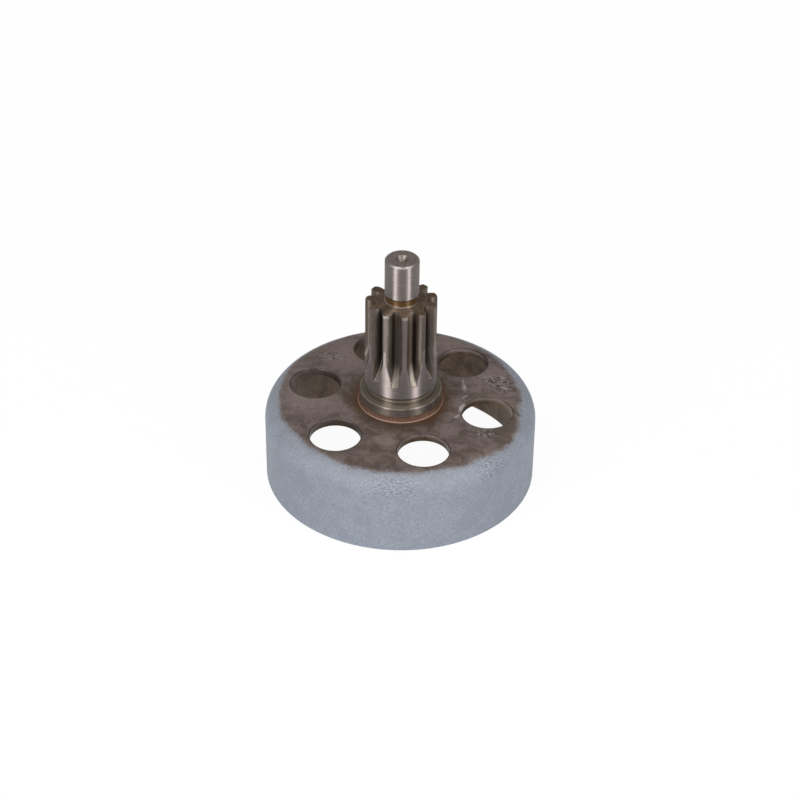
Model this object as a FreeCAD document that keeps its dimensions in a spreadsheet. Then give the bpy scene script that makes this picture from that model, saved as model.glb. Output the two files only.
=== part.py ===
"""Clutch drum with its pinion shaft, for a small two-stroke garden machine.

Three pieces make it. A cup drawn from sheet steel, whose inside wall the clutch shoes grip. A shaft
turned and hobbed from one bar, with a collar, a bearing seat, a pinion and a journal. The ring of
braze that holds the shaft's collar to the web of the cup.

The drum stands on its open rim. The origin is on the axis in the plane of the rim, +Z runs up the
shaft and +X points at the first vent. All lengths are millimetres and all angles are degrees.
"""

import FreeCAD, Part
import math
import os
from collections import namedtuple

import Sketcher

SIZES = {
    # The cup: web, wall and rim in one thickness of sheet
    "drum_bore": 54.0,
    "sheet": 1.6,
    "drum_height": 18.1,
    "bend": 2.6,
    "rim_chamfer": 0.3,
    # The vents, punched through the web from outside
    "vent_count": 6,
    "vent_dia": 10.6,
    "vent_circle": 37.6,
    "vent_round": 0.25,
    # The spigot, which goes through the web and stands out a little inside the cup
    "spigot_dia": 12.0,
    "spigot_stand": 1.0,
    "spigot_chamfer": 0.4,
    "spigot_clearance": 0.05,
    # The collar, which seats on the web
    "collar_dia": 17.2,
    "collar_height": 3.1,
    "collar_chamfer": 0.15,
    # The relief that lets the grinding wheel run out beside the collar
    "relief_dia": 14.2,
    "relief_width": 1.7,
    "relief_fillet": 0.3,
    # The bearing seat: ground past its plain part, over the lower ends of the teeth as well
    "seat_dia": 15.0,
    "seat_length": 2.85,
    "seat_chamfer": 0.2,
    "ground_length": 11.4,
    "tip_step": 0.03,
    # The pinion, from the end of the plain seat to its end face
    "pinion_length": 17.3,
    "teeth": 11,
    "module": 1.154,
    "pressure_angle": 20.0,
    "flank_lift": 0.14,
    "flank_radius": 2.1,
    "root_dia": 10.0,
    "root_fillet": 0.2,
    "hob_dia": 17.0,
    "tooth_end_round": 0.55,
    "pinion_phase": 13.0,
    # The neck turned behind the journal, and the fillet where it meets the pinion's end face
    "neck_dia": 6.6,
    "neck_fillet": 0.4,
    "neck_width": 1.7,
    # The ground journal at the free end
    "journal_dia": 7.1,
    "journal_length": 7.95,
    "journal_chamfer": 0.35,
    # The centre holes that the shaft was turned and ground between
    "centre_mouth": 2.8,
    "centre_angle": 60.0,
    "centre_pilot": 1.0,
    "centre_pilot_depth": 1.0,
    "drill_point_angle": 118.0,
    # The braze: how far it climbs the collar and spreads on the web, and how deep its face dips
    "braze_climb": 1.25,
    "braze_spread": 0.4,
    "braze_hollow": 0.1,
}

# How a sketch numbers the start, end and centre of a curve, and its own two axes
START, END, CENTRE = range(1, 4)
ACROSS_AXIS, UPWARD_AXIS = range(-1, -3, -1)
ORIGIN_POINT = (ACROSS_AXIS, START)

FULL_TURN_ANGLE = 360.0
SAME = 1e-4

# One corner of an outline: reached by a straight line, or by an arc that turns left or right
Corner = namedtuple("Corner", "x y radius turn", defaults=(None, None))


class Size:
    """One length or angle, held both as a number to draw with and as the text that binds it."""

    def __init__(self, number, text):
        self.number = number
        self.text = text

    def __add__(self, other):
        other = as_size(other)
        return Size(self.number + other.number, f"({self.text} + {other.text})")

    def __sub__(self, other):
        other = as_size(other)
        return Size(self.number - other.number, f"({self.text} - {other.text})")

    def __mul__(self, other):
        other = as_size(other)
        return Size(self.number * other.number, f"({self.text} * {other.text})")

    def __truediv__(self, other):
        other = as_size(other)
        return Size(self.number / other.number, f"({self.text} / {other.text})")


def as_size(thing):
    return thing if isinstance(thing, Size) else Size(thing, str(thing))


def sine(angle):
    return Size(math.sin(math.radians(angle.number)), f"sin({angle.text})")


def cosine(angle):
    return Size(math.cos(math.radians(angle.number)), f"cos({angle.text})")


def tangent(angle):
    return Size(math.tan(math.radians(angle.number)), f"tan({angle.text})")


def root_of(area):
    return Size(math.sqrt(area.number), f"sqrt({area.text})")


def fill_sheet(document):
    """Writes the driving dimensions to the sheet and gives them back under their own names."""
    sheet = document.addObject("Spreadsheet::Sheet", "sizes")
    named = {}
    for row, (name, value) in enumerate(SIZES.items(), start=1):
        sheet.set(f"A{row}", name)
        sheet.set(f"B{row}", str(value))
        sheet.setAlias(f"B{row}", name)
        named[name] = Size(value, f"sizes.{name}")
    document.recompute()
    return named


def origin_feature(body, role):
    return next(feature for feature in body.Origin.OriginFeatures if feature.Role == role)


def add_body(document, name):
    body = document.addObject("PartDesign::Body", name)
    body.Label = name
    return body


def add_sketch(body, name, plane, height=None):
    sketch = body.newObject("Sketcher::SketchObject", name)
    sketch.AttachmentSupport = [(origin_feature(body, plane), "")]
    sketch.MapMode = "FlatFace"
    if height:
        sketch.setExpression("AttachmentOffset.Base.z", height.text)
    return sketch


def bind(sketch, kind, where, size):
    """Adds a dimension to the sketch and binds it to the sheet."""
    index = sketch.addConstraint(Sketcher.Constraint(kind, *where, size.number))
    sketch.setExpression(f"Constraints[{index}]", size.text)


def tie(sketch, kind, *where):
    sketch.addConstraint(Sketcher.Constraint(kind, *where))


def place_across(sketch, point, x):
    if x.number:
        bind(sketch, "DistanceX", ORIGIN_POINT + point, x)
    else:
        tie(sketch, "PointOnObject", *point, UPWARD_AXIS)


def place_upward(sketch, point, y):
    if y.number:
        bind(sketch, "DistanceY", ORIGIN_POINT + point, y)
    else:
        tie(sketch, "PointOnObject", *point, ACROSS_AXIS)


def arc_between(begin, end, centre, turns_left):
    """An arc about centre. An arc always runs anticlockwise, so one that turns right is drawn back."""
    first, last = (begin, end) if turns_left else (end, begin)
    start_angle = math.atan2(first.y - centre.y, first.x - centre.x)
    end_angle = math.atan2(last.y - centre.y, last.x - centre.x)
    circle = Part.Circle(centre, FreeCAD.Vector(0, 0, 1), centre.distanceToPoint(begin))
    return Part.ArcOfCircle(circle, start_angle, end_angle)


def arc_of_radius(begin, end, radius, turns_left):
    chord = end - begin
    inward = math.sqrt(radius**2 - (chord.Length / 2) ** 2) / chord.Length
    side = 1 if turns_left else -1
    centre = begin + chord / 2 + FreeCAD.Vector(-chord.y, chord.x, 0) * inward * side
    return arc_between(begin, end, centre, turns_left)


def draw_outline(sketch, corners):
    """Draws a closed outline through the corners and binds each of them to the sheet."""
    corners = [Corner(*corner) for corner in corners]
    points = [FreeCAD.Vector(corner.x.number, corner.y.number, 0) for corner in corners]
    first_ends, last_ends = [], []
    for index, corner in enumerate(corners):
        begin, end = points[index - 1], points[index]
        turns_right = corner.turn == "right"
        if corner.radius:
            sketch.addGeometry(arc_of_radius(begin, end, corner.radius.number, not turns_right))
        else:
            sketch.addGeometry(Part.LineSegment(begin, end))
        first_ends.append(END if turns_right else START)
        last_ends.append(START if turns_right else END)
    for index, corner in enumerate(corners):
        before, after = corners[index - 1], (index + 1) % len(corners)
        point = (index, last_ends[index])
        straight = index > 0 and not corner.radius
        tie(sketch, "Coincident", *point, after, first_ends[after])
        if straight and corner.x.text == before.x.text:
            tie(sketch, "Vertical", index)
        else:
            place_across(sketch, point, corner.x)
        if straight and corner.y.text == before.y.text:
            tie(sketch, "Horizontal", index)
        else:
            place_upward(sketch, point, corner.y)
        if corner.radius:
            bind(sketch, "Radius", (index,), corner.radius)


def revolve(body, name, sketch):
    """Turns a section drawn in the plane of the axis one full turn about that axis."""
    turned = body.newObject("PartDesign::Revolution", name)
    turned.Profile = sketch
    turned.ReferenceAxis = (sketch, ["V_Axis"])
    turned.Angle = FULL_TURN_ANGLE
    body.Document.recompute()
    return turned


def repeat_round(body, name, features, count):
    pattern = body.newObject("PartDesign::PolarPattern", name)
    pattern.Originals = features
    pattern.Axis = (origin_feature(body, "Z_Axis"), [""])
    pattern.Angle = FULL_TURN_ANGLE
    pattern.setExpression("Occurrences", count.text)
    body.Tip = pattern
    body.Document.recompute()
    return pattern


def check_removed(before, feature, least):
    """A cut that points away from the metal removes nothing and reports no error."""
    removed = before.Shape.Volume - feature.Shape.Volume
    if removed < least:
        raise RuntimeError(f"{feature.Label} removed {removed:.3f} mm3, which is less than {least:.3f}")


def make_drum(document, size):
    """The cup: a flat web, a bend and a straight wall, with six vents through the web."""
    body = add_body(document, "drum")
    bore = size["drum_bore"] / 2
    outside = bore + size["sheet"]
    top = size["drum_height"]
    under_web = top - size["sheet"]
    outer_bend = size["bend"] + size["sheet"]
    centre_hole = size["spigot_dia"] / 2 + size["spigot_clearance"]
    chamfer = size["rim_chamfer"]
    floor = Size(0.0, "0")

    section = add_sketch(body, "cup_section", "XZ_Plane")
    draw_outline(section, [
        (bore + chamfer, floor),
        (outside - chamfer, floor),
        (outside, chamfer),
        (outside, top - outer_bend),
        (outside - outer_bend, top, outer_bend, "left"),
        (centre_hole, top),
        (centre_hole, under_web),
        (bore - size["bend"], under_web),
        (bore, under_web - size["bend"], size["bend"], "right"),
        (bore, chamfer),
    ])
    cup = revolve(body, "drawn_cup", section)

    punch = add_sketch(body, "vent_outline", "XY_Plane", top)
    circle = Part.Circle(FreeCAD.Vector(size["vent_circle"].number / 2, 0, 0), FreeCAD.Vector(0, 0, 1),
                         size["vent_dia"].number / 2)
    punch.addGeometry(circle)
    bind(punch, "Radius", (0,), size["vent_dia"] / 2)
    tie(punch, "PointOnObject", 0, CENTRE, ACROSS_AXIS)
    place_across(punch, (0, CENTRE), size["vent_circle"] / 2)
    vent = body.newObject("PartDesign::Pocket", "vent")
    vent.Profile = punch
    vent.Type = "ThroughAll"
    document.recompute()
    disc = math.pi * (size["vent_dia"].number / 2) ** 2 * size["sheet"].number
    check_removed(cup, vent, 0.9 * disc)
    vents = repeat_round(body, "vents", [vent], size["vent_count"])

    # The punch drew the mouth of each vent down into a small round
    fillet = body.newObject("PartDesign::Fillet", "vent_edges")
    fillet.Base = (vents, vent_mouth_edges(vents.Shape, size))
    fillet.setExpression("Radius", size["vent_round"].text)
    body.Tip = fillet
    return body


def vent_mouth_edges(shape, size):
    """Names the edges where the vents open in the outside of the cup."""
    count = size["vent_count"].number
    circle = size["vent_circle"].number / 2
    radius = size["vent_dia"].number / 2
    middle_of_web = size["drum_height"].number - size["sheet"].number / 2
    centres = [polar(circle, FULL_TURN_ANGLE * turn / count) for turn in range(count)]

    def is_on_a_vent(point):
        return any(abs(math.hypot(point.x - centre.x, point.y - centre.y) - radius) < SAME
                   for centre in centres)

    names = []
    for number, edge in enumerate(shape.Edges, start=1):
        points = edge.discretize(3)
        if all(point.z > middle_of_web and is_on_a_vent(point) for point in points):
            names.append(f"Edge{number}")
    return names


def shaft_heights(size):
    """The heights of the shaft's shoulders above the rim, each from the one below it."""
    height = {"web": size["drum_height"]}
    height["spigot_end"] = height["web"] - size["sheet"] - size["spigot_stand"]
    height["collar"] = height["web"] + size["collar_height"]
    height["seat"] = height["collar"] + size["relief_width"]
    height["runout"] = height["seat"] + size["seat_length"]
    height["ground"] = height["seat"] + size["ground_length"]
    height["pinion"] = height["runout"] + size["pinion_length"]
    height["journal"] = height["pinion"] + size["neck_width"]
    height["tip"] = height["journal"] + size["journal_length"]
    return height


def centre_hole_corners(size, face, into):
    """The section of a centre hole, from its mouth in the face to the drill point on the axis.

    The hole runs down from the face where into is -1, and up from it where into is 1.
    """
    mouth = size["centre_mouth"] / 2
    pilot = size["centre_pilot"] / 2
    cone = (mouth - pilot) / tangent(size["centre_angle"] / 2)
    pilot_end = cone + size["centre_pilot_depth"]
    point = pilot_end + pilot / tangent(size["drill_point_angle"] / 2)
    return [
        (mouth, face),
        (pilot, face + cone * into),
        (pilot, face + pilot_end * into),
        (Size(0.0, "0"), face + point * into),
    ]


def make_shaft(document, size):
    """The pinion shaft: a blank turned from bar, then tooth spaces hobbed into it one by one."""
    body = add_body(document, "pinion_shaft")
    height = shaft_heights(size)
    blank = turn_blank(body, size, height)
    cut_teeth(body, size, height, blank)
    body.setExpression("Placement.Rotation.Angle", size["pinion_phase"].text)
    return body


def turn_blank(body, size, height):
    spigot = size["spigot_dia"] / 2
    collar = size["collar_dia"] / 2
    relief = size["relief_dia"] / 2
    fillet = size["relief_fillet"]
    seat = size["seat_dia"] / 2
    tip = seat - size["tip_step"]
    neck = size["neck_dia"] / 2
    neck_fillet = size["neck_fillet"]
    journal = size["journal_dia"] / 2
    seat_chamfer = size["seat_chamfer"]
    end_round = size["tooth_end_round"]
    lower_hole = centre_hole_corners(size, height["spigot_end"], 1)
    upper_hole = centre_hole_corners(size, height["tip"], -1)

    section = add_sketch(body, "shaft_section", "XZ_Plane")
    draw_outline(section, lower_hole[::-1] + [
        (spigot - size["spigot_chamfer"], height["spigot_end"]),
        (spigot, height["spigot_end"] + size["spigot_chamfer"]),
        (spigot, height["web"]),
        (collar, height["web"]),
        (collar, height["collar"] - size["collar_chamfer"]),
        (collar - size["collar_chamfer"], height["collar"]),
        (relief + fillet, height["collar"]),
        (relief, height["collar"] + fillet, fillet, "right"),
        (relief, height["seat"]),
        (seat - seat_chamfer, height["seat"]),
        (seat, height["seat"] + seat_chamfer),
        (seat, height["ground"] - size["tip_step"]),
        (tip, height["ground"]),
        (tip, height["pinion"] - end_round),
        (tip - end_round, height["pinion"], end_round, "left"),
        (neck + neck_fillet, height["pinion"]),
        (neck, height["pinion"] + neck_fillet, neck_fillet, "right"),
        (neck, height["journal"]),
        (journal, height["journal"]),
        (journal, height["tip"] - size["journal_chamfer"]),
        (journal - size["journal_chamfer"], height["tip"]),
    ] + upper_hole)
    return revolve(body, "turned_blank", section)


def cut_teeth(body, size, height, blank):
    """Cuts one tooth space, full depth to the end face and rising out of the seat along the hob."""
    root = size["root_dia"] / 2
    hob = size["hob_dia"] / 2
    depth = size["seat_dia"] / 2 - root
    runout = root_of(depth * (hob * 2 - depth))
    space = add_sketch(body, "tooth_space", "XY_Plane", height["runout"] + runout)
    draw_tooth_space(space, size, root, hob)

    full_depth = body.newObject("PartDesign::Pocket", "full_depth_space")
    full_depth.Profile = space
    full_depth.Type = "ThroughAll"
    full_depth.Reversed = True
    body.Document.recompute()
    narrowest = depth.number * size["root_fillet"].number
    tooth_run = size["pinion_length"].number - runout.number
    check_removed(blank, full_depth, narrowest * tooth_run)

    hob_path = body.newObject("PartDesign::Groove", "hob_runout")
    hob_path.Profile = space
    hob_path.ReferenceAxis = (space, ["Axis0"])
    hob_path.Angle = FULL_TURN_ANGLE / 4
    hob_path.Reversed = True
    body.Document.recompute()
    check_removed(full_depth, hob_path, narrowest * runout.number / 3)
    return repeat_round(body, "tooth_spaces", [full_depth, hob_path], size["teeth"])


def draw_tooth_space(sketch, size, root, hob):
    """Draws one space between two teeth, symmetrical about the sketch's own X axis.

    Each flank is one arc that passes through the pitch point: close to the involute above it, and a
    little undercut below it, because its centre lies a short way outside the base circle. A fillet
    joins it to the root circle. From the circle where full-height teeth would end, the space goes
    straight out, halfway from the blank to the axis of the hob.
    """
    pitch = size["module"] * size["teeth"] / 2
    flank_circle = pitch * cosine(size["pressure_angle"]) + size["flank_lift"]
    full_height = pitch + size["module"]
    half_space = as_size(FULL_TURN_ANGLE / 4) / size["teeth"]
    flank = size["flank_radius"]
    fillet = size["root_fillet"]
    hob_axis = root + hob
    mouth = (size["seat_dia"] / 2 + hob_axis) / 2

    # Where the drawing starts from, as plain numbers; the dimensions below then hold it there
    centre = FreeCAD.Vector()
    pitch_point = polar(pitch.number, half_space.number)
    flank_centre = meeting(centre, flank_circle.number, pitch_point, flank.number, 1)
    fillet_centre = meeting(centre, root.number + fillet.number,
                            flank_centre, flank.number + fillet.number, -1)
    on_root = fillet_centre * (root.number / (root.number + fillet.number))
    on_flank = flank_centre + (fillet_centre - flank_centre).normalize() * flank.number
    flank_end = meeting(centre, full_height.number, flank_centre, flank.number, -1)
    on_mouth = FreeCAD.Vector(mouth.number, flank_end.y, 0)
    hob_axis_end = FreeCAD.Vector(hob_axis.number, size["module"].number, 0)

    add = sketch.addGeometry
    root_arc = add(arc_between(mirrored(on_root), on_root, centre, True))
    upper_fillet = add(arc_between(on_root, on_flank, fillet_centre, False))
    lower_fillet = add(arc_between(mirrored(on_flank), mirrored(on_root), mirrored(fillet_centre), False))
    upper_flank = add(arc_between(on_flank, flank_end, flank_centre, True))
    lower_flank = add(arc_between(mirrored(flank_end), mirrored(on_flank), mirrored(flank_centre), True))
    upper_side = add(Part.LineSegment(flank_end, on_mouth))
    mouth_line = add(Part.LineSegment(on_mouth, mirrored(on_mouth)))
    lower_side = add(Part.LineSegment(mirrored(on_mouth), mirrored(flank_end)))
    hob_line = add(Part.LineSegment(mirrored(hob_axis_end), hob_axis_end), True)
    centre_circle = add(Part.Circle(centre, FreeCAD.Vector(0, 0, 1), flank_circle.number), True)
    full_circle = add(Part.Circle(centre, FreeCAD.Vector(0, 0, 1), full_height.number), True)
    upper_pitch = add(Part.Point(pitch_point), True)
    lower_pitch = add(Part.Point(mirrored(pitch_point)), True)

    circles = ((root_arc, root), (centre_circle, flank_circle), (full_circle, full_height))
    for round_line, radius in circles:
        tie(sketch, "Coincident", round_line, CENTRE, *ORIGIN_POINT)
        bind(sketch, "Radius", (round_line,), radius)
    for point, side in ((upper_pitch, 1), (lower_pitch, -1)):
        place_across(sketch, (point, START), pitch * cosine(half_space))
        place_upward(sketch, (point, START), pitch * sine(half_space) * side)
    for arc, point in ((upper_flank, upper_pitch), (lower_flank, lower_pitch)):
        bind(sketch, "Radius", (arc,), flank)
        tie(sketch, "PointOnObject", arc, CENTRE, centre_circle)
        tie(sketch, "PointOnObject", point, START, arc)
    for arc in (upper_fillet, lower_fillet):
        bind(sketch, "Radius", (arc,), fillet)
    tie(sketch, "Tangent", root_arc, END, upper_fillet, END)
    tie(sketch, "Tangent", upper_fillet, START, upper_flank, START)
    tie(sketch, "Tangent", root_arc, START, lower_fillet, START)
    tie(sketch, "Tangent", lower_fillet, END, lower_flank, END)
    tie(sketch, "PointOnObject", upper_flank, END, full_circle)
    tie(sketch, "PointOnObject", lower_flank, START, full_circle)
    tie(sketch, "Coincident", upper_flank, END, upper_side, START)
    tie(sketch, "Coincident", upper_side, END, mouth_line, START)
    tie(sketch, "Coincident", mouth_line, END, lower_side, START)
    tie(sketch, "Coincident", lower_side, END, lower_flank, START)
    tie(sketch, "Horizontal", upper_side)
    tie(sketch, "Horizontal", lower_side)
    tie(sketch, "Vertical", mouth_line)
    place_across(sketch, (mouth_line, START), mouth)
    tie(sketch, "Symmetric", hob_line, START, hob_line, END, ACROSS_AXIS)
    place_across(sketch, (hob_line, END), hob_axis)
    place_upward(sketch, (hob_line, END), size["module"])


def mirrored(point):
    return FreeCAD.Vector(point.x, -point.y, 0)


def polar(radius, angle):
    return FreeCAD.Vector(radius * math.cos(math.radians(angle)), radius * math.sin(math.radians(angle)), 0)


def meeting(first, first_radius, second, second_radius, side):
    """Where two circles meet: to the left of the line from the first to the second if side is 1."""
    gap = second - first
    along = (first_radius**2 - second_radius**2 + gap.Length**2) / (2 * gap.Length)
    off = math.sqrt(first_radius**2 - along**2)
    unit = gap / gap.Length
    return first + unit * along + FreeCAD.Vector(-unit.y, unit.x, 0) * off * side


def make_braze(document, size):
    """The ring of braze in the corner between the web and the collar, with a hollow face."""
    body = add_body(document, "braze_fillet")
    collar = size["collar_dia"] / 2
    web = size["drum_height"]
    climb = size["braze_climb"]
    spread = size["braze_spread"]
    hollow = size["braze_hollow"]
    hollow_radius = ((climb * climb + spread * spread) / 4 + hollow * hollow) / (hollow * 2)
    section = add_sketch(body, "braze_section", "XZ_Plane")
    draw_outline(section, [
        (collar, web),
        (collar + spread, web),
        (collar, web + climb, hollow_radius, "right"),
    ])
    revolve(body, "braze_ring", section)
    return body


def check_model(document, bodies):
    document.recompute()
    for thing in document.Objects:
        if {"Invalid", "Error"} & set(thing.State):
            raise RuntimeError(f"{thing.Label} failed: {thing.State}")
    for body in bodies:
        if body.Shape.isNull() or not body.Shape.isValid() or len(body.Shape.Solids) != 1:
            raise RuntimeError(f"{body.Label} isn't one sound solid")


def main():
    document = FreeCAD.newDocument("clutch_drum")
    size = fill_sheet(document)
    bodies = [make_drum(document, size), make_shaft(document, size), make_braze(document, size)]
    check_model(document, bodies)
    os.makedirs("parts", exist_ok=True)
    for body in bodies:
        body.Shape.exportStep(f"parts/{body.Label}.step")
        print(f"{body.Label}: {body.Shape.Volume:.1f} mm3, {len(body.Shape.Faces)} faces")


main()
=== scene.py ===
"""Clutch drum: the finish of its steel and braze, with the light, the floor and the camera.

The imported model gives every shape. Each finish is painted by where a point lies on the part: how far
it is from the axis and how high above the rim. A mask is 1 inside a place and 0 outside it. Inside
the finishes lengths are millimetres, and a number beside a size says how far a mask reaches past it.
All else is in metres and watts, and angles are in degrees.
"""

import bpy
import math
from mathutils import Matrix, Vector


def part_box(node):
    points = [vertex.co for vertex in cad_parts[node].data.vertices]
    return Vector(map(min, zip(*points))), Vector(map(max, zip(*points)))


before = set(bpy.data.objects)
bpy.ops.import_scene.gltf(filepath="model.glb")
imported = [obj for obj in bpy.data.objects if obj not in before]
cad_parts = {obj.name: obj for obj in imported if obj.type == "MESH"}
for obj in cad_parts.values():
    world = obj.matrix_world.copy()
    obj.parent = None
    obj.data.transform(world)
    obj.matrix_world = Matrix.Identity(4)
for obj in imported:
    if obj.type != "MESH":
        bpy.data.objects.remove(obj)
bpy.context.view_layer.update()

MM = 0.001

# Sizes of the model in millimetres, the smaller ones in step with its outside diameter
DRUM_HIGH = Vector(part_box("drum")[1]) / MM
SHAFT_HIGH = Vector(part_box("pinion_shaft")[1]) / MM
BRAZE_HIGH = Vector(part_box("braze_fillet")[1]) / MM
DRUM_RADIUS = DRUM_HIGH.x
WEB_TOP = DRUM_HIGH.z
SHAFT_TOP = SHAFT_HIGH.z
BRAZE_RADIUS = BRAZE_HIGH.x
UNIT = DRUM_RADIUS * 2 / 57.2

OUTER_BEND = 4.2 * UNIT
SHEET = 1.6 * UNIT
VENTS = 6
VENT_CIRCLE_RADIUS = 18.8 * UNIT
VENT_RADIUS = 5.3 * UNIT
COLLAR_RADIUS = 8.6 * UNIT
COLLAR_TOP = 21.2 * UNIT
SEAT_FOOT = 22.9 * UNIT
SEAT_RADIUS = 7.5 * UNIT
RUNOUT_START = 25.75 * UNIT
GROUND_END = 34.3 * UNIT
PINION_END = 43.05 * UNIT
NECK_RADIUS = 3.3 * UNIT
NECK_FILLET = 0.4 * UNIT
JOURNAL_FOOT = 44.75 * UNIT
JOURNAL_RADIUS = 3.55 * UNIT
JOURNAL_CHAMFER = 0.35 * UNIT
CENTRE_MOUTH_RADIUS = 1.4 * UNIT

# Where the blasting ends on the web, and how far the brown of the brazing reaches from the axis
BLAST_START, BLAST_FULL = 24.75 * UNIT, 26.05 * UNIT
MASKED_BY = 1.2
HUB_CLEAR, HUB_FULL = 13.5 * UNIT, 9.5 * UNIT
RUST_CLEAR, RUST_FULL = 11.4 * UNIT, 9.2 * UNIT
RUST_LEFT_CLEAR, RUST_LEFT_FULL = 11.0 * UNIT, 9.4 * UNIT

# Ovals seen from above: x, y, half length, half width, turn
MASKED = ((23.0, -11.0, 17.0, 15.0, 0), (-10.0, 24.0, 22.0, 12.0, 25), (-24.0, 7.5, 11.0, 5.5, 70))
RUBBED = ((7.5, -28.0, 9.0, 4.0, 0), (24.0, -15.0, 7.0, 5.0, -55))
PALE = ((-19.0, -3.0, 9.0, 13.0, 0), (-16.0, 11.0, 9.0, 7.0, -40),
        (14.0, 14.0, 9.0, 6.0, -45), (7.0, 21.0, 8.0, 5.5, -15))
FLECKED = ((-5.6, -21.8, 5.5, 2.4, 0), (-17.0, -13.3, 4.5, 3.0, -40),
           (-20.4, -1.2, 3.0, 1.4, 80), (14.5, 16.5, 4.0, 2.0, -45))
PITTED = ((-18.4, 10.4, 4.2, 2.3, 15), (18.6, 11.0, 5.4, 3.8, -30), (20.3, -7.5, 3.3, 2.3, 10))
SCRATCHED = ((12.0, 7.4, 2.1, 0.8, -70), (11.2, 9.4, 1.5, 0.3, -75), (13.1, -3.0, 1.3, 0.7, 60),
             (12.9, 4.1, 1.5, 0.35, 70), (-12.8, -14.6, 1.6, 0.22, 30), (5.2, -13.8, 1.8, 0.2, -20))
SMEARED = ((0.9, -15.3, 3.2, 2.2, 0),)
CHIPPED = ((13.45, 0.1, 2.0, 0.95, 88),)

BUMP = 0.05 * MM
FINE_BUMP = 0.03 * MM

# Camera
VIEW_AZIMUTH, VIEW_ELEVATION, VIEW_ROLL = 15.2, 35.133, 0.709
VIEW_DISTANCE = 444.47 * UNIT * MM
VIEW_TARGET = Vector((0, 0, 25.14)) * UNIT * MM
LENS, SENSOR_WIDTH = 95.73, 36.0
SHIFT_X, SHIFT_Y = -0.0011, -0.0369
CLIP_START, CLIP_END = 0.01, 20.0

# Lamps: name, azimuth from the camera's, elevation, distance, width, height, watts
LAMPS = (("key_left", -43, 32, 0.9, 0.26, 0.8, 5.6),
         ("key_right", 47, 30, 0.9, 0.18, 0.8, 4.5),
         ("top", 0, 85, 1.0, 0.8, 0.8, 3.0))
ROOM_STRENGTH = 0.3
WHITE_STRENGTH = 1.0
FLOOR_HALF_WIDTH = 3.0
FLOOR_WHITE_SHARE = 0.95


def colour(red, green, blue):
    return (red, green, blue, 1.0)


WHITE = colour(1, 1, 1)


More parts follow.
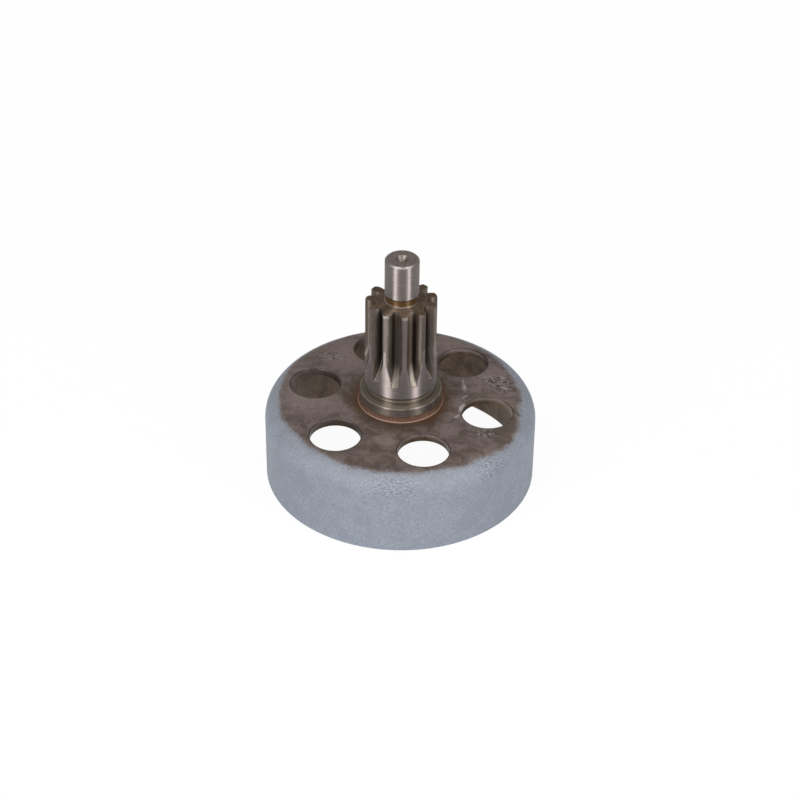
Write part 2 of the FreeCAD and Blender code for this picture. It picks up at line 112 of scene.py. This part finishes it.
class Finish:
    """A node material and short ways to add to it."""

    def __init__(self, name):
        self.material = bpy.data.materials.new(name)
        self.material.use_nodes = True
        self.tree = self.material.node_tree
        self.tree.nodes.clear()
        self.output = self.add("ShaderNodeOutputMaterial")

    def add(self, kind, **settings):
        node = self.tree.nodes.new(kind)
        for key, value in settings.items():
            setattr(node, key, value)
        return node

    def feed(self, socket, value):
        if isinstance(value, bpy.types.NodeSocket):
            self.tree.links.new(value, socket)
        else:
            socket.default_value = value

    def locate(self):
        """Find the point on the part, its x and y, its distance from the axis and its height."""
        scale = self.add("ShaderNodeVectorMath", operation="SCALE")
        self.feed(scale.inputs[0], self.add("ShaderNodeTexCoord").outputs["Object"])
        scale.inputs["Scale"].default_value = 1 / MM
        self.point = scale.outputs[0]
        split = self.add("ShaderNodeSeparateXYZ")
        self.feed(split.inputs[0], self.point)
        self.x, self.y, self.height = split.outputs
        self.radius = self.length(self.x, self.y)

    # Sums

    def math(self, operation, *values):
        node = self.add("ShaderNodeMath", operation=operation)
        for socket, value in zip(node.inputs, values):
            self.feed(socket, value)
        return node.outputs[0]

    def plus(self, first, second):
        return self.math("ADD", first, second)

    def minus(self, first, second):
        return self.math("SUBTRACT", first, second)

    def times(self, first, second):
        return self.math("MULTIPLY", first, second)

    def length(self, across, along):
        return self.math("SQRT", self.plus(self.times(across, across), self.times(along, along)))

    def mix(self, amount, first, second):
        node = self.add("ShaderNodeMix", data_type="FLOAT")
        self.feed(node.inputs[0], amount)
        self.feed(node.inputs[2], first)
        self.feed(node.inputs[3], second)
        return node.outputs[0]

    # Noise

    def noise(self, scale, detail=2.0, roughness=0.5, distortion=0.0, stretch=None, point=None):
        if point is None:
            point = self.point
        if stretch:
            squeeze = self.add("ShaderNodeVectorMath", operation="MULTIPLY")
            self.feed(squeeze.inputs[0], point)
            squeeze.inputs[1].default_value = stretch
            point = squeeze.outputs[0]
        node = self.add("ShaderNodeTexNoise")
        self.feed(node.inputs["Vector"], point)
        node.inputs["Scale"].default_value = scale
        node.inputs["Detail"].default_value = detail
        node.inputs["Roughness"].default_value = roughness
        node.inputs["Distortion"].default_value = distortion
        return node.outputs["Fac"]

    def sway(self, noise, width):
        """A noise as a length that swings about 0 and is width from end to end."""
        return self.times(self.minus(noise, 0.5), width)

    # Masks

    def step(self, value, start, end):
        """0 below start, 1 above end and smooth between them; start may be the larger one."""
        node = self.add("ShaderNodeMapRange", interpolation_type="SMOOTHSTEP")
        self.feed(node.inputs["Value"], value)
        self.feed(node.inputs["From Min"], start)
        self.feed(node.inputs["From Max"], end)
        return node.outputs[0]

    def band(self, value, low, high, soft):
        """1 between low and high, falling to 0 over the width soft on each side."""
        return self.both(self.step(value, low - soft, low), self.step(value, high + soft, high))

    def spots(self, places, core=0.4):
        """Ovals seen from above: 1 out to the share core of their size, and 0 at their edge."""
        mask = 0.0
        for x, y, half_length, half_width, turn in places:
            oval = self.add("ShaderNodeMapping", vector_type="TEXTURE")
            self.feed(oval.inputs["Vector"], self.point)
            oval.inputs["Location"].default_value = (x, y, 0)
            oval.inputs["Rotation"].default_value = (0, 0, math.radians(turn))
            oval.inputs["Scale"].default_value = (half_length, half_width, 1000)
            far = self.add("ShaderNodeVectorMath", operation="LENGTH")
            self.feed(far.inputs[0], oval.outputs[0])
            mask = self.either(mask, self.step(far.outputs["Value"], 1.0, core))
        return mask

    def both(self, *masks):
        mask = masks[0]
        for other in masks[1:]:
            mask = self.times(mask, other)
        return mask

    def either(self, *masks):
        mask = masks[0]
        for other in masks[1:]:
            mask = self.math("MAXIMUM", mask, other)
        return mask

    # Colours and the shader

    def blend(self, amount, first, second):
        node = self.add("ShaderNodeMix", data_type="RGBA")
        self.feed(node.inputs[0], amount)
        self.feed(node.inputs[6], first)
        self.feed(node.inputs[7], second)
        return node.outputs[2]

    def tint(self, base, shade, mask, strength=1.0):
        """The colour base, with shade over it where mask is 1."""
        return self.blend(mask if strength == 1.0 else self.times(mask, strength), base, shade)

    def surface(self, colour, metallic, roughness, bump, bump_height):
        shader = self.add("ShaderNodeBsdfPrincipled")
        self.feed(shader.inputs["Base Color"], colour)
        self.feed(shader.inputs["Metallic"], metallic)
        self.feed(shader.inputs["Roughness"], roughness)
        relief_rust_and_shade = self.add("ShaderNodeBump")
        relief_rust_and_shade.inputs["Strength"].default_value = 1.0
        relief_rust_and_shade.inputs["Distance"].default_value = bump_height
        self.feed(relief_rust_and_shade.inputs["Height"], bump)
        self.feed(shader.inputs["Normal"], relief_rust_and_shade.outputs[0])
        self.feed(self.output.inputs["Surface"], shader.outputs[0])
        return shader


def outside_of_cup(f):
    """1 on the outer side of the sheet, told by how far out of its bend the point lies."""
    past_wall = f.math("MAXIMUM", f.minus(f.radius, DRUM_RADIUS - OUTER_BEND), 0.0)
    past_web = f.math("MAXIMUM", f.minus(f.height, WEB_TOP - OUTER_BEND), 0.0)
    depth = f.length(past_wall, past_web)
    return f.step(depth, OUTER_BEND - SHEET * 0.6, OUTER_BEND - SHEET * 0.4)


def blasted_area(f, wide, feather, speckle):
    """The wall and shoulder, with a ragged edge where the blasting stops on the web."""
    wander = f.plus(f.sway(wide, 2.2), f.plus(f.sway(feather, 1.8), f.sway(speckle, 2.2)))
    masked = f.times(f.spots(MASKED, core=0.3), MASKED_BY)
    edge = f.minus(f.plus(f.radius, wander), masked)
    return f.step(edge, BLAST_START, BLAST_FULL)


def blasted_colour(f, feather, speckle):
    cloud = f.noise(0.22, detail=3.0, roughness=0.6)
    grey = f.blend(f.step(speckle, 0.3, 0.72), colour(0.188, 0.211, 0.257), colour(0.310, 0.338, 0.389))
    grey = f.tint(grey, colour(0.210, 0.228, 0.265), f.step(cloud, 0.42, 0.66), 0.55)
    shoulder = f.both(f.step(f.height, WEB_TOP - 2.6, WEB_TOP - 0.3), f.step(feather, 0.25, 0.7))
    grey = f.tint(grey, colour(0.225, 0.21, 0.21), shoulder, 0.35)

    # Short dark and light dashes round the shoulder, where it was rubbed
    unrolled = f.add("ShaderNodeCombineXYZ")
    f.feed(unrolled.inputs[0], f.times(f.math("ARCTAN2", f.y, f.x), DRUM_RADIUS))
    f.feed(unrolled.inputs[1], f.height)
    dashes = f.noise(1.5, detail=3.0, roughness=0.65, stretch=(1.0, 3.0, 1.0), point=unrolled.outputs[0])
    rubbed_and_highlit = f.both(f.spots(RUBBED, core=0.2), f.band(f.height, WEB_TOP - 3.6, WEB_TOP - 0.9, 1.2))
    grey = f.tint(grey, colour(0.090, 0.098, 0.118), f.both(rubbed_and_highlit, f.step(dashes, 0.54, 0.62)))
    return f.tint(grey, colour(0.44, 0.46, 0.50), f.both(rubbed_and_highlit, f.step(dashes, 0.44, 0.34)), 0.7)


def web_colour(f, smear, stain, speckle):
    """Brown from the heat of brazing, darkest round the collar, and smeared with oil."""
    brown = f.blend(f.step(smear, 0.36, 0.64), colour(0.130, 0.097, 0.082), colour(0.234, 0.184, 0.167))
    brown = f.tint(brown, colour(0.285, 0.222, 0.208), f.spots(PALE, core=0.2), 0.75)
    brown = f.tint(brown, colour(0.098, 0.071, 0.058), f.step(stain, 0.5, 0.70), 0.6)
    brown = f.tint(brown, colour(0.29, 0.235, 0.22), f.step(stain, 0.42, 0.28), 0.5)
    flecks = f.both(f.spots(FLECKED, core=0.2), f.step(speckle, 0.53, 0.60))
    brown = f.tint(brown, colour(0.064, 0.047, 0.042), flecks, 0.8)
    hub = f.step(f.plus(f.radius, f.sway(smear, 5.0)), HUB_CLEAR, HUB_FULL)
    brown = f.tint(brown, colour(0.088, 0.058, 0.036), hub, 0.72)
    rust = f.step(f.plus(f.radius, f.sway(smear, 4.0)), RUST_CLEAR, RUST_FULL)
    rust = f.both(rust, f.step(f.x, 3.0, 8.0))
    rust_left = f.both(f.step(f.radius, RUST_LEFT_CLEAR, RUST_LEFT_FULL), f.step(f.x, -4.0, -8.0))
    return f.tint(brown, colour(0.125, 0.062, 0.030), f.either(rust, rust_left), 0.8)


def inside_colour(f, wide, feather, stain):
    """Soot and old oil inside the cup."""
    soot = f.noise(0.42, detail=5.0, roughness=0.6, stretch=(1.0, 1.0, 0.7))
    inner = f.blend(f.step(soot, 0.26, 0.72), colour(0.056, 0.038, 0.023), colour(0.150, 0.104, 0.070))
    inner = f.tint(inner, colour(0.045, 0.030, 0.018), f.step(stain, 0.56, 0.68), 0.5)
    inner = f.tint(inner, colour(0.19, 0.112, 0.068), f.step(wide, 0.46, 0.64), 0.45)
    return f.tint(inner, colour(0.034, 0.023, 0.013), f.step(feather, 0.52, 0.64), 0.6)


def with_wear(f, brown, pitted, grain, on_web, stain, speckle):
    """Pits, scratches and a pale smear on the web."""
    brown = f.tint(brown, colour(0.066, 0.050, 0.046), f.both(pitted, f.step(grain, 0.51, 0.58)))
    brown = f.tint(brown, colour(0.34, 0.29, 0.285), f.both(pitted, f.step(grain, 0.49, 0.40)))
    scratched = f.both(f.spots(SCRATCHED, core=0.1), on_web, f.step(speckle, 0.40, 0.54))
    brown = f.tint(brown, colour(0.50, 0.455, 0.44), scratched)
    smeared = f.both(f.spots(SMEARED), f.step(stain, 0.38, 0.5))
    return f.tint(brown, colour(0.32, 0.27, 0.215), smeared, 0.65)


def with_vents(f, brown, stain, speckle):
    """Dark mouths of the vents, painted shade on their walls on the left and a painted highlight atop
    their walls on the right.
    """
    pitch = 2 * math.pi / VENTS
    turn = f.math("ARCTAN2", f.y, f.x)
    turn = f.minus(turn, f.times(f.math("ROUND", f.math("DIVIDE", turn, pitch)), pitch))
    from_vent = f.length(f.minus(f.times(f.radius, f.math("COSINE", turn)), VENT_CIRCLE_RADIUS),
                         f.times(f.radius, f.math("SINE", turn)))

    mouth = f.both(f.band(from_vent, VENT_RADIUS + 0.02, VENT_RADIUS + 0.26, 0.08),
                   f.step(f.height, WEB_TOP - 0.22, WEB_TOP - 0.12), f.step(stain, 0.28, 0.46))
    brown = f.tint(brown, colour(0.066, 0.049, 0.040), mouth, 0.8)
    # Painted shade on the vent walls on the left side
    painted_wall_shade = f.both(f.step(from_vent, VENT_RADIUS + 0.12, VENT_RADIUS + 0.04),
                  f.step(f.height, WEB_TOP - 0.1, WEB_TOP - 0.25), f.step(f.x, 4.0, -6.0))
    brown = f.tint(brown, colour(0.062, 0.048, 0.040), painted_wall_shade, 0.7)
    # Painted highlight at the top of the vent walls on the right side
    painted_lip_highlight = f.both(f.band(f.height, WEB_TOP - 0.42, WEB_TOP - 0.2, 0.05),
                 f.step(from_vent, VENT_RADIUS + 0.14, VENT_RADIUS + 0.06),
                 f.step(f.x, -8.0, 6.0), f.step(stain, 0.40, 0.58))
    brown = f.tint(brown, colour(0.42, 0.36, 0.31), painted_lip_highlight, 0.6)
    chipped = f.both(f.spots(CHIPPED), f.step(f.height, WEB_TOP - 0.4, WEB_TOP - 0.3),
                     f.step(speckle, 0.38, 0.50))
    return f.tint(brown, colour(0.56, 0.52, 0.50), chipped)


def drum_finish():
    f = Finish("drum_steel")
    f.locate()
    wide = f.noise(0.16)
    feather = f.noise(1.1, detail=5.0, roughness=0.72)
    speckle = f.noise(2.6, detail=4.0, roughness=0.75)
    smear = f.noise(0.3, detail=5.0, roughness=0.62, distortion=0.8)
    stain = f.noise(1.5, detail=5.0, roughness=0.75)
    grain = f.noise(1.3, detail=5.0, roughness=0.75, distortion=0.6)

    outside = outside_of_cup(f)
    blasted = f.both(outside, blasted_area(f, wide, feather, speckle))
    on_web = f.step(f.height, WEB_TOP - 0.06, WEB_TOP - 0.02)
    pitted = f.both(f.spots(PITTED), on_web)

    brown = f.blend(outside, inside_colour(f, wide, feather, stain), web_colour(f, smear, stain, speckle))
    brown = with_wear(f, brown, pitted, grain, on_web, stain, speckle)
    brown = with_vents(f, brown, stain, speckle)
    base = f.blend(blasted, brown, blasted_colour(f, feather, speckle))

    metallic = f.mix(blasted, 0.6, 0.25)
    roughness = f.mix(blasted, f.mix(stain, 0.36, 0.58), 0.66)
    bump = f.mix(blasted, f.mix(pitted, f.times(stain, 0.35), grain), speckle)
    f.surface(base, metallic, roughness, bump, BUMP)
    return f.material


def with_teeth(f, dark):
    """The tooth spaces, darkest deep down with oil and painted shade and lifted with painted light near
    the end and where they run out, the oiled lands, and painted shade on the teeth at the sides.
    """
    teeth = f.both(f.step(f.height, RUNOUT_START, RUNOUT_START + 0.5),
                   f.step(f.height, PINION_END, PINION_END - 0.1))
    # Oil and painted shade darken the tooth roots, less near the end face
    oil_and_shade_strength = f.mix(f.step(f.height, PINION_END - 1.6, PINION_END - 0.2), 1.0, 0.4)
    root_oil_and_shade = f.both(f.step(f.radius, SEAT_RADIUS - 1.0, SEAT_RADIUS - 2.3), teeth, oil_and_shade_strength)
    dark = f.tint(dark, colour(0.047, 0.031, 0.020), root_oil_and_shade, 0.88)
    # Painted light lifting the shade in the gaps near the end face, away from the front
    painted_gap_light = f.both(f.step(f.height, PINION_END - 3.4, PINION_END - 0.6),
                       f.step(f.height, PINION_END - 0.05, PINION_END - 0.3),
                       f.step(f.radius, SEAT_RADIUS - 0.2, SEAT_RADIUS - 0.6), f.step(f.y, -5.0, -3.0))
    dark = f.tint(dark, colour(0.190, 0.148, 0.112), painted_gap_light, 0.9)
    # Painted light on the floors where the tooth spaces run out
    painted_runout_light = f.both(f.step(f.height, RUNOUT_START + 5.0, RUNOUT_START + 0.6),
                    f.step(f.radius, SEAT_RADIUS - 0.06, SEAT_RADIUS - 0.2),
                    f.step(f.height, RUNOUT_START - 0.1, RUNOUT_START))
    dark = f.tint(dark, colour(0.315, 0.272, 0.232), painted_runout_light, 0.9)
    land = f.both(f.step(f.radius, SEAT_RADIUS - 0.12, SEAT_RADIUS - 0.08), teeth)
    dark = f.tint(dark, colour(0.175, 0.140, 0.128), land)
    # Painted shade over the teeth at the sides of the shaft
    painted_side_shade = f.both(f.step(f.math("ABSOLUTE", f.x), 4.2, 5.8),
                  f.step(f.height, GROUND_END - 4.0, GROUND_END + 2.0), teeth)
    return f.tint(dark, colour(0.105, 0.080, 0.062), painted_side_shade, 0.6)


def with_neck(f, dark, stain):
    """The neck, brown from old oil and darker at its top with painted shade under the journal, and the
    pinion's end face.
    """
    neck = f.both(f.step(f.height, PINION_END + 0.1, PINION_END + 0.2),
                  f.step(f.height, JOURNAL_FOOT, JOURNAL_FOOT - 0.1))
    # Brown from old oil, darker towards the top with painted shade under the journal
    oil_and_shade = f.blend(f.step(f.height, JOURNAL_FOOT - 0.75, JOURNAL_FOOT - 0.15),
                  colour(0.150, 0.084, 0.032), colour(0.050, 0.030, 0.014))
    dark = f.tint(dark, oil_and_shade, neck)
    end_face = f.both(f.step(f.height, PINION_END - 0.05, PINION_END - 0.02),
                      f.step(f.height, PINION_END + 0.2, PINION_END + 0.1))
    grime = f.blend(f.step(stain, 0.35, 0.65), colour(0.115, 0.070, 0.038), colour(0.20, 0.143, 0.094))
    return f.tint(dark, grime, end_face, 0.75)


def with_collar(f, dark):
    """The relief under the seat, dark with rust and painted shade and with a painted highlight line round
    it, and the flat on top of the collar.
    """
    # Rust and painted shade in the groove under the seat, with a painted highlight line
    relief_rust_and_shade = f.both(f.band(f.height, COLLAR_TOP + 0.02, SEAT_FOOT - 0.02, 0.03),
                    f.step(f.radius, SEAT_RADIUS - 0.15, SEAT_RADIUS - 0.3))
    painted_highlight_line = f.band(f.height, SEAT_FOOT - 0.95, SEAT_FOOT - 0.65, 0.15)
    dark = f.tint(dark, f.blend(painted_highlight_line, colour(0.115, 0.092, 0.070), colour(0.25, 0.21, 0.16)), relief_rust_and_shade)
    flat = f.both(f.band(f.height, COLLAR_TOP - 0.04, COLLAR_TOP + 0.1, 0.03),
                  f.step(f.radius, SEAT_RADIUS - 0.3, SEAT_RADIUS - 0.1))
    return f.tint(dark, colour(0.235, 0.198, 0.140), flat, 0.7)


def with_edge_highlights(f, dark, stain):
    """Painted highlights on the edges at the collar, in the hollow under the neck and on the front
    teeth's corners.
    """
    collar = f.both(f.step(f.radius, COLLAR_RADIUS - 0.2, COLLAR_RADIUS - 0.12),
                    f.band(f.height, COLLAR_TOP - 0.16, COLLAR_TOP, 0.02))
    hollow = f.both(f.band(f.radius, NECK_RADIUS + 0.14, NECK_RADIUS + 0.30, 0.05),
                    f.band(f.height, PINION_END, PINION_END + NECK_FILLET, 0.04))
    corners = f.both(f.step(f.radius, SEAT_RADIUS - 0.75, SEAT_RADIUS - 0.3),
                     f.band(f.height, PINION_END - 0.55, PINION_END - 0.1, 0.1),
                     f.step(f.y, -3.5, -5.5), f.step(f.x, -4.6, -3.2))
    # Painted highlights where these edges catch the light, broken up by a noise
    rubbed_and_highlit = f.both(f.either(collar, hollow, corners), f.step(stain, 0.3, 0.6))
    return f.tint(dark, colour(0.36, 0.31, 0.28), rubbed_and_highlit, 0.8)


def shaft_finish():
    """Turned and hobbed steel under a film of old oil, with a ground seat and journal."""
    f = Finish("shaft_steel")
    f.locate()
    stain = f.noise(0.55, detail=5.0, roughness=0.65, stretch=(1.0, 1.0, 0.4))
    fine = f.noise(3.5, detail=3.0, roughness=0.6)
    marks = f.noise(1.0, detail=3.0, stretch=(0.5, 0.5, 7.0))

    journal = f.both(f.step(f.height, JOURNAL_FOOT, JOURNAL_FOOT + 0.03),
                     f.step(f.radius, JOURNAL_RADIUS - 0.06, JOURNAL_RADIUS - 0.02))
    bevel_foot = JOURNAL_RADIUS - JOURNAL_CHAMFER
    bevel = f.both(f.band(f.height, SHAFT_TOP - JOURNAL_CHAMFER, SHAFT_TOP - 0.04, 0.02),
                   f.step(f.radius, bevel_foot - 0.04, bevel_foot))
    seat = f.both(f.band(f.height, SEAT_FOOT, GROUND_END, 0.03),
                  f.step(f.radius, SEAT_RADIUS - 0.05, SEAT_RADIUS - 0.02))
    tip_face = f.step(f.height, SHAFT_TOP - 0.06, SHAFT_TOP - 0.03)
    centre = f.both(f.step(f.radius, CENTRE_MOUTH_RADIUS + 0.02, CENTRE_MOUTH_RADIUS - 0.04),
                    f.band(f.height, SHAFT_TOP - 1.3, SHAFT_TOP - 0.08, 0.03))
    collar_side = f.both(f.step(f.radius, COLLAR_RADIUS - 0.06, COLLAR_RADIUS - 0.02),
                         f.step(f.height, COLLAR_TOP, COLLAR_TOP - 0.2))
    ground = f.either(journal, seat, bevel)

    dark = f.blend(f.step(stain, 0.32, 0.68), colour(0.115, 0.092, 0.075), colour(0.167, 0.138, 0.119))
    dark = with_teeth(f, dark)
    dark = with_neck(f, dark, stain)
    dark = with_collar(f, dark)
    sawn = f.blend(f.step(fine, 0.36, 0.62), colour(0.140, 0.108, 0.097), colour(0.255, 0.208, 0.193))
    dark = f.tint(dark, sawn, tip_face)
    drilled = f.blend(f.step(stain, 0.4, 0.6), colour(0.12, 0.096, 0.082), colour(0.27, 0.235, 0.215))
    dark = f.tint(dark, drilled, centre)
    dark = with_edge_highlights(f, dark, stain)
    bright = f.blend(f.step(marks, 0.35, 0.65), colour(0.300, 0.257, 0.246), colour(0.385, 0.334, 0.322))
    bright = f.tint(bright, colour(0.330, 0.295, 0.285), bevel)
    base = f.blend(ground, dark, bright)

    metallic = f.mix(ground, 0.65, 1.0)
    oiled_roughness = f.mix(collar_side, f.mix(fine, 0.34, 0.52), 0.62)
    ground_roughness = f.mix(bevel, f.mix(marks, 0.46, 0.53), 0.42)
    roughness = f.mix(ground, oiled_roughness, ground_roughness)
    shader = f.surface(base, metallic, roughness, f.mix(ground, fine, f.times(marks, 0.3)), FINE_BUMP)

    # Turning marks run round the shaft, and spread its highlights along it
    tangent = f.add("ShaderNodeTangent", direction_type="RADIAL", axis="Z")
    f.feed(shader.inputs["Tangent"], tangent.outputs[0])
    f.feed(shader.inputs["Anisotropic"], f.mix(f.either(bevel, tip_face, centre), 1.0, 0.0))
    shader.inputs["Anisotropic Rotation"].default_value = 0.25
    return f.material


def braze_finish():
    """Dull copper, brighter in a thin line round its outer edge."""
    f = Finish("braze_copper")
    f.locate()
    fine = f.noise(1.6, detail=4.0, roughness=0.65)
    base = f.blend(f.step(fine, 0.32, 0.68), colour(0.088, 0.044, 0.025), colour(0.160, 0.084, 0.054))
    edge = f.step(f.radius, BRAZE_RADIUS - 0.14, BRAZE_RADIUS - 0.06)
    base = f.tint(base, colour(0.38, 0.232, 0.18), edge, 0.9)
    f.surface(base, 0.4, f.mix(fine, 0.56, 0.72), fine, FINE_BUMP)
    return f.material


def put_on(node, material):
    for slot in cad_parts[node].material_slots:
        slot.material = material


def direction(azimuth, elevation):
    """Unit vector seen from the part. Azimuth 0 is towards -Y and 90 towards +X."""
    a, e = math.radians(azimuth), math.radians(elevation)
    return Vector((math.sin(a) * math.cos(e), -math.cos(a) * math.cos(e), math.sin(e)))


def look_at(eye, target, roll=0.0):
    """A matrix at eye whose -Z points at target, turned about that line by roll."""
    back = (eye - target).normalized()
    right = Vector((0, 0, 1)).cross(back).normalized()
    up = back.cross(right)
    roll = math.radians(roll)
    tilted = right * math.cos(roll) + up * math.sin(roll)
    upright = back.cross(tilted)
    turn = Matrix((tilted, upright, back)).transposed().to_4x4()
    return Matrix.Translation(eye) @ turn


def add_camera():
    data = bpy.data.cameras.new("photo_camera")
    data.lens = LENS
    data.sensor_width = SENSOR_WIDTH
    data.shift_x, data.shift_y = SHIFT_X, SHIFT_Y
    data.clip_start, data.clip_end = CLIP_START, CLIP_END
    camera = bpy.data.objects.new("photo_camera", data)
    bpy.context.scene.collection.objects.link(camera)
    eye = VIEW_TARGET + direction(VIEW_AZIMUTH, VIEW_ELEVATION) * VIEW_DISTANCE
    camera.matrix_world = look_at(eye, VIEW_TARGET, VIEW_ROLL)
    bpy.context.scene.camera = camera


def add_lamp(name, azimuth, elevation, distance, width, height, watts):
    data = bpy.data.lights.new(name, "AREA")
    data.shape = "RECTANGLE"
    data.size, data.size_y = width, height
    data.energy = watts
    lamp = bpy.data.objects.new(name, data)
    bpy.context.scene.collection.objects.link(lamp)
    target = Vector((0, 0, WEB_TOP * MM))
    eye = target + direction(VIEW_AZIMUTH + azimuth, elevation) * distance
    lamp.matrix_world = look_at(eye, target)


def add_floor():
    """A pale floor that shows white to the camera and in reflections, and keeps the shadow."""
    far = FLOOR_HALF_WIDTH
    mesh = bpy.data.meshes.new("floor")
    mesh.from_pydata([(-far, -far, 0), (far, -far, 0), (far, far, 0), (-far, far, 0)], [], [(0, 1, 2, 3)])
    floor = bpy.data.objects.new("floor", mesh)
    bpy.context.scene.collection.objects.link(floor)
    f = Finish("floor")
    diffuse = f.add("ShaderNodeBsdfDiffuse")
    diffuse.inputs["Color"].default_value = colour(0.9, 0.9, 0.9)
    white = f.add("ShaderNodeEmission")
    white.inputs["Color"].default_value = WHITE
    path = f.add("ShaderNodeLightPath")
    seen = f.either(path.outputs["Is Camera Ray"], path.outputs["Is Glossy Ray"],
                    path.outputs["Is Transmission Ray"])
    mixed = f.add("ShaderNodeMixShader")
    f.feed(mixed.inputs[0], f.times(seen, FLOOR_WHITE_SHARE))
    f.feed(mixed.inputs[1], diffuse.outputs[0])
    f.feed(mixed.inputs[2], white.outputs[0])
    f.feed(f.output.inputs["Surface"], mixed.outputs[0])
    mesh.materials.append(f.material)


def set_world():
    """A dim even room that the camera sees as white."""
    world = bpy.data.worlds.new("studio")
    bpy.context.scene.world = world
    world.use_nodes = True
    tree = world.node_tree
    tree.nodes.clear()
    output = tree.nodes.new("ShaderNodeOutputWorld")
    path = tree.nodes.new("ShaderNodeLightPath")
    mixed = tree.nodes.new("ShaderNodeMixShader")
    tree.links.new(path.outputs["Is Camera Ray"], mixed.inputs[0])
    for socket, strength in ((mixed.inputs[1], ROOM_STRENGTH), (mixed.inputs[2], WHITE_STRENGTH)):
        background = tree.nodes.new("ShaderNodeBackground")
        background.inputs["Color"].default_value = WHITE
        background.inputs["Strength"].default_value = strength
        tree.links.new(background.outputs[0], socket)
    tree.links.new(mixed.outputs[0], output.inputs["Surface"])


put_on("drum", drum_finish())
put_on("pinion_shaft", shaft_finish())
put_on("braze_fillet", braze_finish())
add_floor()
set_world()
for lamp in LAMPS:
    add_lamp(*lamp)
add_camera()

settings = bpy.context.scene.view_settings
settings.view_transform = "Standard"
